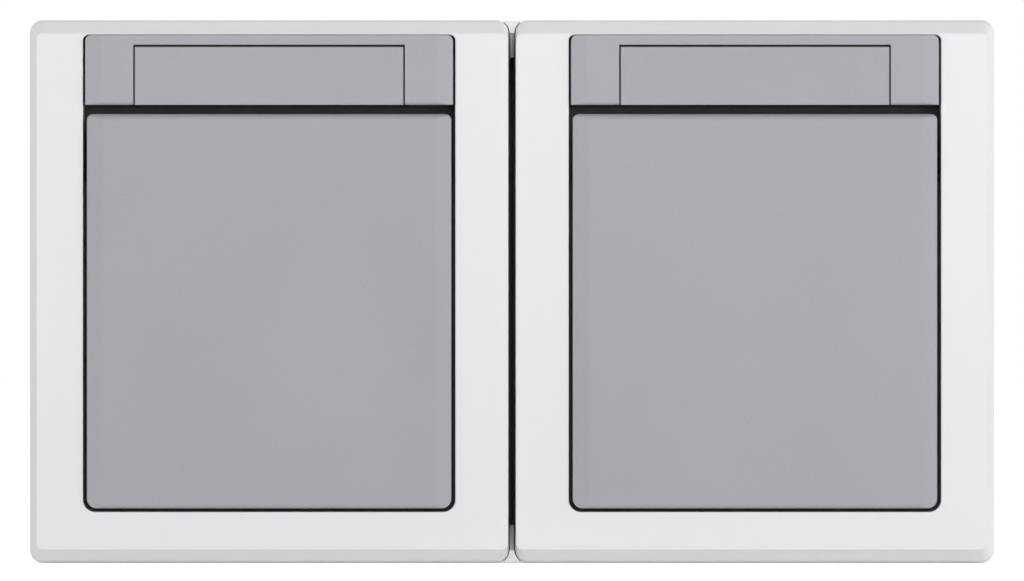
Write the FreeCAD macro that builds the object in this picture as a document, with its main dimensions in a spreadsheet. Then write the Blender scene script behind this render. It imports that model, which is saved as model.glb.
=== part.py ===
import FreeCAD, Part
import Sketcher
import math
import os
import re

# Double weatherproof wall socket: a common back box, and on it, side by side, two frames that each
# hold an insert with a label strip, a sprung lid and a round recessed socket with side earth clips.
# The wall is the plane y = 0, the front faces -Y and up is +Z. The origin is the middle of the
# back face. A depth is a distance from the wall, so a point at that depth has y = -depth.
# Heights inside the round socket are taken from the middle of its recess.

SIZES = (
    # Frames, one per half, with a narrow groove between them
    ("frame_width", 74.5),
    ("frame_height", 84.4),
    ("frame_groove", 1.0),
    ("frame_corner", 2.0),
    ("frame_wall", 2.0),
    ("frame_face", 2.4),
    ("front_depth", 58.0),
    ("bevel_side", 1.0),
    ("bevel_groove", 0.12),
    ("bevel_upright", 2.1),
    ("bevel_depth", 1.6),
    ("bevel_corner", 1.0),
    ("opening_width", 57.85),
    ("opening_top_border", 2.3),
    ("opening_bottom_border", 7.95),
    ("opening_top_corner", 0.9),
    ("opening_bottom_corner", 1.9),
    ("skirt_wall", 1.8),
    ("frame_edge_round", 0.15),
    ("frame_side_inset", 0.3),
    ("frame_side_rise", 0.6),
    # Back box
    ("housing_depth", 34.0),
    ("housing_inset", 0.5),
    ("housing_corner", 2.5),
    ("housing_wall", 2.4),
    ("housing_back", 2.5),
    ("housing_edge_round", 1.0),
    ("housing_seam", 0.3),
    ("rim_wall", 1.6),
    ("rim_rise", 4.0),
    ("rim_root", 3.0),
    ("rim_clearance", 0.2),
    ("bridge_width", 9.2),
    ("partition_wall", 2.4),
    ("wiring_gate_height", 26.0),
    ("wiring_gate_sill", 4.0),
    ("fixing_pitch_across", 132.0),
    ("fixing_pitch_up", 62.0),
    ("fixing_slot_length", 9.0),
    ("fixing_slot_width", 4.5),
    ("fixing_boss_wall", 2.0),
    ("fixing_boss_rise", 3.0),
    ("knockout_diameter", 20.0),
    ("knockout_score_width", 0.8),
    ("knockout_score_depth", 1.3),
    ("rear_knockout_diameter", 16.0),
    ("rear_knockout_height", 28.0),
    # Cable grommets in the top wall
    ("entry_depth", 17.0),
    ("entry_diameter", 20.0),
    ("grommet_flange", 2.0),
    ("grommet_flange_sink", 0.9),
    ("grommet_flange_proud", 0.2),
    ("grommet_play", 0.1),
    ("grommet_lip", 1.3),
    ("grommet_lip_reach", 1.2),
    ("grommet_wall", 1.2),
    ("grommet_membrane", 0.8),
    # Seals between back box and frames, and in the groove between the frames
    ("frame_seal_height", 1.4),
    ("seal_ledge_height", 1.8),
    ("seal_ledge_width", 1.9),
    ("groove_seal_play", 0.1),
    ("groove_seal_height", 3.0),
    # Ribs of the back box that close the groove's ends
    ("groove_rib_play", 0.15),
    ("groove_rib_corner_play", 0.1),
    ("groove_rib_start", 36.5),
    ("groove_rib_foot", 51.0),
    ("groove_rib_shoulder", 41.0),
    ("groove_rib_crest", 56.0),
    ("groove_rib_head", 1.3),
    # Insert: label strip, plate, recess cup and floor
    ("lid_proud", 0.6),
    ("strip_height", 10.85),
    ("strip_clearance", 0.05),
    ("strip_side_gap", 0.35),
    ("strip_wall", 1.8),
    ("strip_hollow_depth", 6.0),
    ("strip_lower_round", 0.5),
    ("strip_peg_radius", 1.2),
    ("strip_peg_length", 3.0),
    ("strip_peg_offset", 25.0),
    ("strip_peg_play", 0.05),
    ("platform_overlap", 0.7),
    ("platform_play", 0.1),
    ("facet_width", 2.5),
    ("facet_drop", 0.3),
    ("plate_setback", 7.0),
    ("plate_thickness", 2.5),
    ("plate_overlap", 1.5),
    ("skirt_clearance", 0.1),
    ("label_width", 41.7),
    ("label_height", 9.0),
    ("label_thickness", 2.1),
    ("label_top_slit", 0.35),
    ("label_side_slit", 0.25),
    ("label_back_play", 0.05),
    ("label_tab_pitch", 27.0),
    ("label_tab_width", 3.0),
    ("label_tab_height", 3.0),
    ("label_tab_length", 2.6),
    ("label_tab_clearance", 0.15),
    ("label_tab_rise", 4.5),
    ("recess_diameter", 39.6),
    ("recess_depth", 17.5),
    ("recess_wall", 1.5),
    ("recess_floor", 2.5),
    ("recess_drop", 2.95),
    ("cup_flange", 0.8),
    ("cup_flange_thickness", 1.2),
    ("cup_play", 0.05),
    ("cup_ledge", 1.0),
    ("cup_ledge_thickness", 1.0),
    ("floor_play", 0.05),
    ("pin_pitch", 19.0),
    ("pin_hole_diameter", 5.5),
    ("guide_rib_width", 5.0),
    ("guide_rib_rise", 2.2),
    ("guide_rib_setback", 1.5),
    ("clip_slot_width", 7.5),
    ("clip_slot_sink", 3.5),
    # Lid and its hinge
    ("lid_slot", 1.4),
    ("lid_side_gap", 0.62),
    ("lid_bottom_gap", 0.55),
    ("lid_thickness", 2.0),
    ("lid_wall", 1.8),
    ("lid_wall_clearance", 0.6),
    ("lid_top_corner", 1.0),
    ("lid_bottom_corner", 1.5),
    ("lid_top_round", 1.1),
    ("lid_bottom_round", 0.5),
    ("hinge_setback", 4.6),
    ("hinge_drop", 5.0),
    ("hinge_swing_radius", 6.45),
    ("hinge_pocket_drop", 5.6),
    ("hinge_pocket_wall", 2.0),
    ("hinge_pin_radius", 1.25),
    ("hinge_pin_play", 0.05),
    ("hinge_pin_grip", 0.02),
    ("hinge_pin_sink", 0.3),
    ("ear_radius", 2.3),
    ("ear_offset", 21.5),
    ("ear_thickness", 3.0),
    ("ear_foot_up", 0.3),
    ("ear_foot_down", 4.5),
    ("ear_upper_angle", 105.0),
    ("ear_lower_angle", -60.0),
    ("knuckle_gap", 0.3),
    ("seal_rib_inner_radius", 20.55),
    ("seal_rib_wall", 1.2),
    ("seal_rib_setback", 1.9),
    ("seal_wall", 0.4),
    ("seal_grip", 1.2),
    ("seal_play", 0.05),
    ("seal_gap", 0.3),
    # Lid spring
    ("spring_wire_radius", 0.25),
    ("spring_coil_radius", 1.9),
    ("spring_pitch", 0.75),
    ("spring_turns", 10.5),
    ("spring_leg_length", 5.4),
    ("spring_play", 0.05),
    ("spring_rest_width", 2.5),
    ("spring_rest_length", 2.0),
    # Shutter
    ("shutter_room", 3.0),
    ("shutter_play", 0.3),
    ("shutter_hub_radius", 5.2),
    ("shutter_reach", 13.4),
    ("shutter_wing_width", 6.3),
    ("shutter_ramp_edge", 0.6),
    ("shutter_ramp_crest", 1.4),
    ("spindle_radius", 2.9),
    ("spindle_play", 0.06),
    ("shutter_spring_seat", 4.1),
    ("shutter_spring_seat_depth", 1.6),
    ("shutter_spring_radius", 3.5),
    ("shutter_spring_wire_radius", 0.2),
    ("shutter_spring_sweep", 310.0),
    # Contact carrier and contacts
    ("carrier_width", 44.0),
    ("carrier_height", 41.0),
    ("carrier_corner", 3.0),
    ("carrier_depth", 16.0),
    ("cavity_inner", 5.2),
    ("cavity_outer", 20.6),
    ("cavity_height", 8.0),
    ("cavity_back", 1.2),
    ("contact_gap", 5.2),
    ("contact_leaf", 0.7),
    ("contact_flare", 0.8),
    ("contact_flare_length", 1.6),
    ("contact_height", 6.0),
    ("contact_back_play", 0.8),
    ("contact_front_setback", 1.0),
    ("terminal_offset", 16.5),
    ("terminal_width", 6.2),
    ("terminal_height", 7.0),
    ("terminal_depth", 8.0),
    ("wire_hole_radius", 1.6),
    ("wire_hole_depth", 3.5),
    ("wire_channel_radius", 2.0),
    ("screw_shank_radius", 1.5),
    ("screw_play", 0.02),
    ("terminal_screw_reach", 3.4),
    ("terminal_head_radius", 2.5),
    ("terminal_head_height", 2.0),
    ("drive_slot_width", 0.8),
    ("drive_slot_share", 1.3),
    ("drive_slot_depth", 0.9),
    # Earth bracket
    ("earth_strip", 0.8),
    ("earth_width", 6.5),
    ("earth_arm_radius", 21.4),
    ("earth_back_play", 0.1),
    ("earth_bow_start", 2.5),
    ("earth_bow_depth", 9.0),
    ("earth_bow_tip_depth", 13.0),
    ("earth_bow_radius", 18.4),
    ("earth_tip_radius", 20.2),
    ("earth_terminal_offset", 7.5),
    ("earth_terminal_rise", 5.5),
    # Bush and screws
    ("bush_radius", 3.0),
    ("bush_length", 8.0),
    ("centre_head_radius", 3.0),
    ("centre_head_height", 1.5),
    ("centre_head_play", 0.2),
    ("centre_screw_reach", 7.0),
    ("carrier_screw_across", 17.5),
    ("carrier_screw_up", 14.0),
    ("carrier_screw_radius", 1.4),
    ("carrier_screw_hole", 1.6),
    ("carrier_head_radius", 3.0),
    ("carrier_head_height", 2.2),
    ("carrier_head_play", 0.3),
    ("carrier_head_sink", 8.0),
    ("carrier_screw_reach", 7.0),
    ("post_radius", 3.5),
    ("post_hole_depth", 8.0),
)

doc = FreeCAD.newDocument("weatherproof_socket")
sheet = doc.addObject("Spreadsheet::Sheet", "Sizes")
for row, (alias, number) in enumerate(SIZES, start=1):
    sheet.set("A%d" % row, alias)
    sheet.set("B%d" % row, str(number))
    sheet.setAlias("B%d" % row, alias)
doc.recompute()
ALIASES = {alias for alias, number in SIZES}

# Sizes and places worked out from the driving ones
half_pitch = "((frame_width + frame_groove) / 2)"
housing_width = "(2 * frame_width + frame_groove - 2 * housing_inset)"
housing_height = "(frame_height - 2 * housing_inset)"
frame_back = "(housing_depth + housing_seam)"
lid_front = "(front_depth + lid_proud)"
seat_floor = "(%s - label_thickness - label_back_play)" % lid_front
lid_under = "(%s - lid_thickness)" % lid_front
plate_front = "(front_depth - plate_setback)"
plate_back = "(%s - plate_thickness)" % plate_front
floor_front = "(%s - recess_depth)" % plate_front
floor_back = "(%s - recess_floor)" % floor_front
carrier_front = "(%s - shutter_room)" % floor_back
carrier_back = "(%s - carrier_depth)" % carrier_front
rim_top = "(housing_depth + rim_rise)"
opening_top = "(frame_height / 2 - opening_top_border)"
opening_bottom = "(opening_bottom_border - frame_height / 2)"
opening_height = "(%s - %s)" % (opening_top, opening_bottom)
opening_middle = "((%s + %s) / 2)" % (opening_top, opening_bottom)
strip_top = "(%s - strip_clearance)" % opening_top
strip_bottom = "(%s - strip_height)" % strip_top
strip_width = "(opening_width - 2 * strip_side_gap)"
strip_middle = "((%s + %s) / 2)" % (strip_top, strip_bottom)
seat_width = "(label_width + 2 * label_side_slit)"
seat_top = "(%s + label_height + label_top_slit)" % strip_bottom
lid_top = "(%s - lid_slot)" % strip_bottom
lid_bottom = "(%s + lid_bottom_gap)" % opening_bottom
lid_width = "(opening_width - 2 * lid_side_gap)"
lid_height = "(%s - %s)" % (lid_top, lid_bottom)
lid_middle = "((%s + %s) / 2)" % (lid_top, lid_bottom)
recess_middle = "(%s - recess_drop)" % lid_middle
recess_radius = "(recess_diameter / 2)"
cup_radius = "(recess_diameter / 2 + recess_wall)"
ledge_front = "(%s + cup_ledge_thickness)" % floor_back
rib_inner = "(%s - guide_rib_rise)" % recess_radius
hinge_depth = "(%s - hinge_setback)" % lid_front
hinge_height = "(%s - hinge_drop)" % lid_top
pocket_floor = "(%s - hinge_swing_radius)" % hinge_depth
pocket_bottom = "(%s - hinge_pocket_drop)" % hinge_height
terminal_back = "(%s + cavity_back + contact_back_play)" % carrier_back
terminal_front = "(%s + terminal_depth)" % terminal_back
earth_terminal_height = "(earth_arm_radius + earth_strip / 2 + earth_terminal_rise / 2)"
rim_width = "(frame_width - 2 * frame_wall - 2 * rim_clearance)"
rim_height = "(frame_height - 2 * frame_wall - 2 * rim_clearance)"
entry_radius = "(entry_diameter / 2)"
MARGIN = 1.0
NEAR = 1e-4

PLANES = {"front": ("XZ_Plane", 1, 1), "top": ("XY_Plane", 1, -1), "side": ("YZ_Plane", -1, 1)}


def bound(text):
    """The same expression with every size read from the sheet."""
    return re.sub(r"[a-z_]+", lambda m: "Sizes." + m[0] if m[0] in ALIASES else m[0], text)


def value(text):
    return float(sheet.evalExpression(bound(text)))


def minus(text):
    return "-(%s)" % text


def new_body(name, across="0", depth="0", up="0"):
    body = doc.addObject("PartDesign::Body", name)
    body.Label = name
    body.setExpression(".Placement.Base.x", bound(across))
    body.setExpression(".Placement.Base.y", bound(minus(depth)))
    body.setExpression(".Placement.Base.z", bound(up))
    return body


class Drawing:
    """A sketch on one of the body's own planes, at a distance along that plane's normal.

    front takes (across, up) and lies at a depth; top takes (across, depth) and lies at a height;
    side takes (depth, up) and lies at a distance across.
    """

    def __init__(self, body, plane, offset="0"):
        role, self.first, self.second = PLANES[plane]
        support = [f for f in body.Origin.OriginFeatures if f.Role == role][0]
        self.sketch = body.newObject("Sketcher::SketchObject", "drawing")
        self.sketch.AttachmentSupport = (support, "")
        self.sketch.MapMode = "FlatFace"
        self.sketch.setExpression(".AttachmentOffset.Base.z", bound(offset))

    def signed(self, u, v):
        return (u if self.first > 0 else minus(u), v if self.second > 0 else minus(v))

    def spot(self, u, v):
        u, v = self.signed(u, v)
        return FreeCAD.Vector(value(u), value(v), 0)

    def hold(self, kind, *where, text):
        index = self.sketch.addConstraint(Sketcher.Constraint(kind, *where, value(text)))
        self.sketch.setExpression("Constraints[%d]" % index, bound(text))

    def place(self, geometry, point, u, v):
        u, v = self.signed(u, v)
        self.hold("DistanceX", -1, 1, geometry, point, text=u)
        self.hold("DistanceY", -1, 1, geometry, point, text=v)

    def polygon(self, *corners):
        """A closed outline with straight sides through the corners."""
        spots = [self.spot(u, v) for u, v in corners]
        first = self.sketch.GeometryCount
        for spot, following in zip(spots, spots[1:] + spots[:1]):
            self.sketch.addGeometry(Part.LineSegment(spot, following))
        for i, (u, v) in enumerate(corners):
            after = first + (i - 1) % len(corners)
            self.sketch.addConstraint(Sketcher.Constraint("Coincident", after, 2, first + i, 1))
            self.place(first + i, 1, u, v)
        return self

    def box(self, u, v, width, height):
        """A rectangle round its middle."""
        left = "%s - (%s) / 2" % (u, width)
        right = "%s + (%s) / 2" % (u, width)
        low = "%s - (%s) / 2" % (v, height)
        high = "%s + (%s) / 2" % (v, height)
        return self.polygon((left, low), (right, low), (right, high), (left, high))

    def circle(self, u, v, radius):
        index = self.sketch.addGeometry(
            Part.Circle(self.spot(u, v), FreeCAD.Vector(0, 0, 1), value(radius))
        )
        self.place(index, 3, u, v)
        self.hold("Radius", index, text=radius)
        return self

    def rounded(self, corners):
        """Corner arcs given anticlockwise as (u, v, radius, start angle, sweep), joined by lines."""
        first = self.sketch.GeometryCount
        count = len(corners)
        for u, v, radius, start, sweep in corners:
            ring = Part.Circle(self.spot(u, v), FreeCAD.Vector(0, 0, 1), value(radius))
            arc = Part.ArcOfCircle(ring, math.radians(start), math.radians(start + sweep))
            self.sketch.addGeometry(arc)
        for i in range(count):
            here = self.sketch.getPoint(first + i, 2)
            there = self.sketch.getPoint(first + (i + 1) % count, 1)
            self.sketch.addGeometry(Part.LineSegment(here, there))
        for i, (u, v, radius, start, sweep) in enumerate(corners):
            arc, line, following = first + i, first + count + i, first + (i + 1) % count
            self.sketch.addConstraint(Sketcher.Constraint("Tangent", arc, 2, line, 1))
            self.sketch.addConstraint(Sketcher.Constraint("Tangent", line, 2, following, 1))
            self.place(arc, 3, u, v)
            self.hold("Radius", arc, text=radius)
        return self

    def round_box(self, u, v, width, height, low_radius, high_radius=None):
        """A rectangle round its middle, with rounded corners, on the front plane."""
        high_radius = high_radius or low_radius
        corners = []
        for sign_u, sign_v, radius, start in (
            ("+", "+", high_radius, 0),
            ("-", "+", high_radius, 90),
            ("-", "-", low_radius, 180),
            ("+", "-", low_radius, 270),
        ):
            centre_u = "%s %s ((%s) / 2 - (%s))" % (u, sign_u, width, radius)
            centre_v = "%s %s ((%s) / 2 - (%s))" % (v, sign_v, height, radius)
            corners.append((centre_u, centre_v, radius, start, 90))
        return self.rounded(corners)

    def slot(self, u, v, length, width):
        """A slot with half-round ends, lying along u, on the front plane."""
        radius = "((%s) / 2)" % width
        reach = "((%s) / 2 - %s)" % (length, radius)
        right = ("%s + %s" % (u, reach), v, radius, 270, 180)
        left = ("%s - %s" % (u, reach), v, radius, 90, 180)
        return self.rounded([right, left])

    def rounding(self, depth, up, radius, turn):
        """What a rounded edge takes off: the corner outside an arc, on the side plane.

        turn is + for an upper edge and - for a lower one. The edge runs across at (depth, up).
        """
        on_face = (depth, "%s %s -(%s)" % (up, turn, radius))
        on_end = ("%s - (%s)" % (depth, radius), up)
        outside = "%s + %s" % (depth, MARGIN)
        beyond = "%s %s %s" % (up, turn, MARGIN)
        corners = [on_face, (outside, on_face[1]), (outside, beyond), (on_end[0], beyond), on_end]
        spots = [self.spot(u, v) for u, v in corners]
        for spot, following in zip(spots, spots[1:]):
            self.sketch.addGeometry(Part.LineSegment(spot, following))
        for i in range(3):
            self.sketch.addConstraint(Sketcher.Constraint("Coincident", i, 2, i + 1, 1))
        centre = self.spot(on_end[0], on_face[1])
        ring = Part.Circle(centre, FreeCAD.Vector(0, 0, 1), value(radius))
        angles = [math.atan2((s - centre).y, (s - centre).x) for s in (spots[4], spots[0])]
        begin, end = angles if turn == "+" else reversed(angles)
        if end < begin:
            end += 2 * math.pi
        self.sketch.addGeometry(Part.ArcOfCircle(ring, begin, end))
        ends = (1, 2) if turn == "+" else (2, 1)
        self.sketch.addConstraint(Sketcher.Constraint("Coincident", 3, 2, 4, ends[0]))
        self.sketch.addConstraint(Sketcher.Constraint("Coincident", 4, ends[1], 0, 1))
        for i in range(4):
            self.place(i, 1, *corners[i])
        self.place(3, 2, *corners[4])
        self.hold("Radius", 4, text=radius)
        return self


def finish_feature(feature, drawing, length, reverse, both_ways):
    feature.Profile = drawing.sketch
    feature.setExpression("Length", bound(length))
    feature.Reversed = reverse
    if both_ways:
        feature.SideType = "Symmetric"
    drawing.sketch.Visibility = False
    doc.recompute([drawing.sketch, feature])
    return feature


def add(body, drawing, length, reverse=False, both_ways=False):
    """Adds material along the drawing's normal, or against it where reversed."""
    pad = body.newObject("PartDesign::Pad", "added")
    return finish_feature(pad, drawing, length, reverse, both_ways)


def cut(body, drawing, length, reverse=False, both_ways=False):
    """Takes material away against the drawing's normal, or along it where reversed."""
    before = body.Tip.Shape.Volume
    pocket = body.newObject("PartDesign::Pocket", "taken")
    finish_feature(pocket, drawing, length, reverse, both_ways)
    if pocket.Shape.Volume > before - NEAR:
        raise RuntimeError("a cut in %s takes nothing away" % body.Label)
    return pocket


def taper(body, low, *higher):
    """Adds the straight-sided block through two drawings or more."""
    loft = body.newObject("PartDesign::AdditiveLoft", "taper")
    sections = [drawing.sketch for drawing in higher]
    loft.Profile = low.sketch
    loft.Sections = sections
    loft.Ruled = True
    doc.recompute([low.sketch, *sections, loft])
    return loft


def wound_wire(name, across, depth, up, axis, start, wire_radius, pitch, turns, leg):
    """A spring wire as one solid, wound round axis from start, with a straight leg at each end.

    axis and start are directions. The place is the middle of the coil's first turn.
    """
    across_axis = axis.cross(start)

    def on_coil(turn):
        angle = 2 * math.pi * turn
        return start * math.cos(angle) + across_axis * math.sin(angle) + axis * (pitch * turn)

    def along(turn):
        angle = 2 * math.pi * turn
        round_way = across_axis * math.cos(angle) - start * math.sin(angle)
        return (round_way * (2 * math.pi) + axis * pitch).normalize()

    helix = Part.makeHelix(pitch, pitch * turns, start.Length)
    helix.Placement = FreeCAD.Placement(
        FreeCAD.Vector(),
        FreeCAD.Rotation(start, across_axis, axis, "ZXY"),
    )
    lead_in = Part.makeLine(on_coil(0) - along(0) * leg, on_coil(0))
    lead_out = Part.makeLine(on_coil(turns), on_coil(turns) + along(turns) * leg)
    path = Part.Wire([lead_in, *helix.Edges, lead_out])
    begin = path.OrderedVertexes[0].Point
    section = Part.Wire(Part.makeCircle(wire_radius, begin, along(0)))
    spring = doc.addObject("Part::Feature", name)
    spring.Label = name
    spring.Shape = path.makePipeShell([section], True, True)
    spring.setExpression(".Placement.Base.x", bound(across))
    spring.setExpression(".Placement.Base.y", bound(minus(depth)))
    spring.setExpression(".Placement.Base.z", bound(up))
    return spring


def round_edges(body, radius, chosen):
    """Rounds the edges of the body for which chosen(edge) holds."""
    base = body.Tip
    names = ["Edge%d" % i for i, edge in enumerate(base.Shape.Edges, start=1) if chosen(edge)]
    if not names:
        raise RuntimeError("no edge of %s is rounded" % body.Label)
    fillet = body.newObject("PartDesign::Fillet", "rounded")
    fillet.Base = (base, names)
    fillet.setExpression("Radius", bound(radius))
    doc.recompute([fillet])
    return fillet


def at_depth(depth):
    """Holds for an edge that lies at one depth."""
    y = -value(depth)
    return lambda edge: max(abs(vertex.Point.y - y) for vertex in edge.Vertexes) < NEAR


def within(edge, low, high):
    """True where the whole edge lies between two corners in (across, up)."""
    box = edge.BoundBox
    inside_across = box.XMin > low[0] - NEAR and box.XMax < high[0] + NEAR
    return inside_across and box.ZMin > low[1] - NEAR and box.ZMax < high[1] + NEAR


def from_recess(up):
    """A height that is given from the middle of the recess."""
    return "(%s + %s)" % (recess_middle, up)


def add_groove_rib(body, end):
    """Rib of the back box that rises towards one end of the groove, where it fills the notch.

    It is cut back round the frames' corners, before the rims that stand inside the frames.
    """
    tip = "(frame_height / 2 - groove_rib_play)"
    corner_up = "(frame_height / 2 - frame_corner)"
    rib_width = "(frame_groove - 2 * groove_rib_play)"
    rise = [
        ("housing_depth", "groove_rib_start"),
        ("groove_rib_foot", "groove_rib_start"),
        ("groove_rib_crest", "groove_rib_shoulder"),
        ("groove_rib_crest", tip),
        ("housing_depth", tip),
    ]
    fin = Drawing(body, "side", "-%s / 2" % rib_width)
    fin.polygon(*[(depth, "0 %s (%s)" % (end, up)) for depth, up in rise])
    add(body, fin, rib_width)
    notch = [
        ("-%s / 2" % rib_width, corner_up),
        ("%s / 2" % rib_width, corner_up),
        ("groove_rib_head", tip),
        ("-groove_rib_head", tip),
    ]
    head = Drawing(body, "front", "housing_depth")
    head.polygon(*[(across, "0 %s %s" % (end, up)) for across, up in notch])
    add(body, head, "groove_rib_crest - housing_depth")
    corners = Drawing(body, "front", "housing_depth")
    for side in ("-", "+"):
        corners.circle(
            "0 %s (frame_groove / 2 + frame_corner)" % side,
            "0 %s %s" % (end, corner_up),
            "frame_corner + groove_rib_corner_play",
        )
    cut(body, corners, "groove_rib_crest - housing_depth", reverse=True)


def make_housing():
    """Back box: open at the front, with a rim for each frame and a bridge between them."""
    body = new_body("base_housing")
    outline = (housing_width, housing_height)
    shell = Drawing(body, "front").round_box("0", "0", *outline, "housing_corner")
    add(body, shell, "housing_depth")
    round_edges(body, "housing_edge_round", at_depth("0"))
    inside_width = "%s - 2 * housing_wall" % housing_width
    inside_height = "%s - 2 * housing_wall" % housing_height
    inside = Drawing(body, "front", "housing_depth")
    inside.round_box("0", "0", inside_width, inside_height, "housing_corner / 2")
    cut(body, inside, "housing_depth - housing_back")

    bridge = Drawing(body, "front", "housing_depth").box("0", "0", "bridge_width", inside_height)
    add(body, bridge, "rim_root", reverse=True)
    partition = Drawing(body, "front", "housing_back")
    partition.box("0", "0", "partition_wall", inside_height)
    add(body, partition, "housing_depth - rim_root - housing_back")
    for end in ("-", "+"):
        add_groove_rib(body, end)
    gate = Drawing(body, "front", "housing_depth - rim_root")
    gate.box("0", "0", "partition_wall", "wiring_gate_height")
    cut(body, gate, "housing_depth - rim_root - housing_back - wiring_gate_sill")

    for side in ("-", "+"):
        middle = "0 %s %s" % (side, half_pitch)
        rim = Drawing(body, "front", "housing_depth - rim_root")
        rim.round_box(middle, "0", rim_width, rim_height, "frame_corner")
        rim.round_box(
            middle,
            "0",
            "%s - 2 * rim_wall" % rim_width,
            "%s - 2 * rim_wall" % rim_height,
            "frame_corner / 2",
        )
        add(body, rim, "rim_root + rim_rise")

    bosses = Drawing(body, "front", "housing_back")
    slots = Drawing(body, "front", "housing_back + fixing_boss_rise")
    for side in ("-", "+"):
        for level in ("-", "+"):
            place = ("0 %s fixing_pitch_across / 2" % side, "0 %s fixing_pitch_up / 2" % level)
            boss_length = "fixing_slot_length + 2 * fixing_boss_wall"
            bosses.slot(*place, boss_length, "fixing_slot_width + 2 * fixing_boss_wall")
            slots.slot(*place, "fixing_slot_length", "fixing_slot_width")
    add(body, bosses, "fixing_boss_rise")
    cut(body, slots, "fixing_boss_rise + housing_back")

    posts = Drawing(body, "front", "housing_back")
    holes = Drawing(body, "front", carrier_back)
    for side in ("-", "+"):
        for across, up in carrier_screw_spots():
            place = ("0 %s %s %s" % (side, half_pitch, across), up)
            posts.circle(*place, "post_radius")
            holes.circle(*place, "carrier_screw_radius + screw_play")
    add(body, posts, "%s - housing_back" % carrier_back)
    cut(body, holes, "post_hole_depth")

    entries = Drawing(body, "top", "%s / 2" % housing_height)
    seats = Drawing(body, "top", "%s / 2" % housing_height)
    scores = Drawing(body, "top", "-%s / 2" % housing_height)
    rear_scores = Drawing(body, "front")
    for side in ("-", "+"):
        place = ("0 %s %s" % (side, half_pitch), "entry_depth")
        entries.circle(*place, entry_radius)
        seats.circle(*place, "%s + grommet_flange + grommet_play" % entry_radius)
        scores.circle(*place, "knockout_diameter / 2")
        scores.circle(*place, "knockout_diameter / 2 - knockout_score_width")
        rear_place = (place[0], "rear_knockout_height")
        rear_scores.circle(*rear_place, "rear_knockout_diameter / 2")
        rear_scores.circle(*rear_place, "rear_knockout_diameter / 2 - knockout_score_width")
    cut(body, entries, "housing_wall")
    cut(body, seats, "grommet_flange_sink")
    cut(body, scores, "knockout_score_depth", reverse=True)
    cut(body, rear_scores, "knockout_score_depth", reverse=True)
    return body


def carrier_screw_spots():
    """The two carrier screws stand diagonally across the recess's middle."""
    return (
        ("- carrier_screw_across", from_recess("carrier_screw_up")),
        ("+ carrier_screw_across", from_recess("- carrier_screw_up")),
    )


def make_grommets():
    """Two rubber grommets, buttoned into the top wall, each with a closed membrane."""
    body = new_body("cable_grommets")
    wall_out = "%s / 2" % housing_height
    wall_in = "%s / 2 - housing_wall" % housing_height
    seat = "%s - grommet_flange_sink" % wall_out
    lip_top = "%s - grommet_play" % wall_in
    layers = (
        (seat, "grommet_flange_sink + grommet_flange_proud", "%s + grommet_flange" % entry_radius),
        (lip_top, "housing_wall - grommet_flange_sink + grommet_play",
         "%s - grommet_play" % entry_radius),
        ("%s - grommet_lip" % lip_top, "grommet_lip", "%s + grommet_lip_reach" % entry_radius),
    )
    for level, height, radius in layers:
        layer = Drawing(body, "top", level)
        for side in ("-", "+"):
            layer.circle("0 %s %s" % (side, half_pitch), "entry_depth", radius)
        add(body, layer, height)
    bowl = Drawing(body, "top", "%s + grommet_flange_proud" % wall_out)
    step = Drawing(body, "top", "%s - grommet_lip" % lip_top)
    for side in ("-", "+"):
        place = ("0 %s %s" % (side, half_pitch), "entry_depth")
        bowl.circle(*place, "%s - grommet_wall" % entry_radius)
        step.circle(*place, "%s / 2" % entry_radius)
    whole = "grommet_flange_proud + housing_wall + grommet_play + grommet_lip"
    cut(body, bowl, "%s - grommet_membrane" % whole)
    add(body, step, "grommet_lip + grommet_membrane")
    return body


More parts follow.
